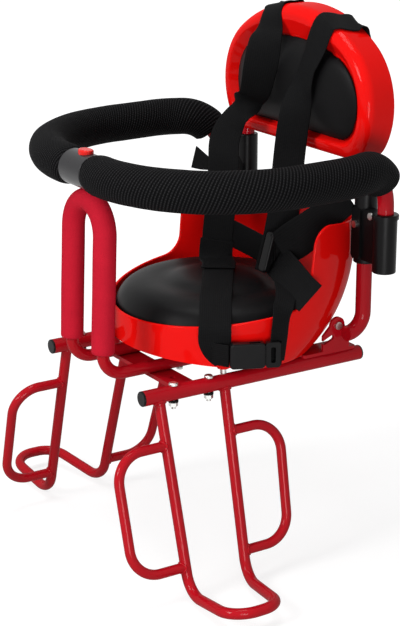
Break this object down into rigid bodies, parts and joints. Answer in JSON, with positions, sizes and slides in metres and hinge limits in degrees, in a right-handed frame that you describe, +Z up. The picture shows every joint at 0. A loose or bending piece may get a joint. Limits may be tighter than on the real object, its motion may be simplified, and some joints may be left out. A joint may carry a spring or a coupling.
{
  "type": "child bike seat",
  "caption": "Rack-mounted child bike seat: red bucket and backrest on a crimson tube frame, with hinged foam guard ring, front handle, foot loops and harness.",
  "frame": {"origin": "underside of the cross bars, midway between the four rack bolt holes", "axes": "+Z up, -Y the way the child faces, +X to the child's left"},
  "size_m": [0.5894, 0.4157, 0.6745],
  "materials": {
    "frame_paint": "gloss crimson paint",
    "handle_foam": "matte foam",
    "guard_foam": "ribbed knit over foam",
    "shell_red": "gloss",
    "button_red": "satin",
    "pad_cover": "soft sheen",
    "webbing": "woven",
    "black_plastic": "satin",
    "washer_rubber": "matte",
    "latch_grey": "satin",
    "steel": "zinc plated"
  },
  "bodies": {
    "seat_frame": {"left_rail": "frame_paint", "right_rail": "frame_paint", "front_cross_bar": "frame_paint", "rear_cross_bar": "frame_paint", "handle_tube": "frame_paint", "left_leg": "frame_paint", "right_leg": "frame_paint", "left_front_loop": "frame_paint", "right_front_loop": "frame_paint", "left_rear_loop": "frame_paint", "right_rear_loop": "frame_paint", "left_bracket": "frame_paint", "right_bracket": "frame_paint", "upright_frame": "frame_paint", "handle_foam": "handle_foam", "seat_shell": "shell_red", "backrest_shell": "shell_red", "seat_pad": "pad_cover", "backrest_pad": "pad_cover", "left_shoulder_strap": "webbing", "right_shoulder_strap": "webbing", "left_waist_belt": "webbing", "right_waist_belt": "webbing", "left_lap_strap": "webbing", "right_lap_strap": "webbing", "rail_plugs": "black_plastic", "left_hinge_block": "black_plastic", "right_hinge_block": "black_plastic", "buckle_body": "black_plastic", "buckle_tongue": "black_plastic", "strap_slider": "black_plastic", "rail_washers": "washer_rubber", "rail_bolts": "steel", "rail_nuts": "steel", "bracket_bolts": "steel", "hinge_bolts": "steel", "seat_studs": "steel", "seat_screws": "steel", "backrest_bolts": "steel"},
    "left_guard": {"left_guard_tube": "frame_paint", "left_guard_foam": "guard_foam", "latch_tongue": "latch_grey"},
    "right_guard": {"right_guard_tube": "frame_paint", "right_guard_foam": "guard_foam", "latch_housing": "latch_grey", "button_spring": "steel"},
    "button": {"release_button": "button_red"}
  },
  "joints": [
    {"name": "left_guard_swing", "type": "hinge", "parent": "seat_frame", "child": "left_guard", "pos_m": [0.184, 0.1405, 0.17], "axis": [0, 0, 1], "range_deg": [0, 100]},
    {"name": "right_guard_swing", "type": "hinge", "parent": "seat_frame", "child": "right_guard", "pos_m": [-0.184, 0.1405, 0.17], "axis": [0, 0, -1], "range_deg": [0, 100]},
    {"name": "release_button_press", "type": "slide", "parent": "right_guard", "child": "button", "axis": [0, 0, -1], "range_m": [0, 0.003], "stiffness_N_per_m": 400, "springref_m": -0.002, "deforming": ["button_spring"]}
  ]
}
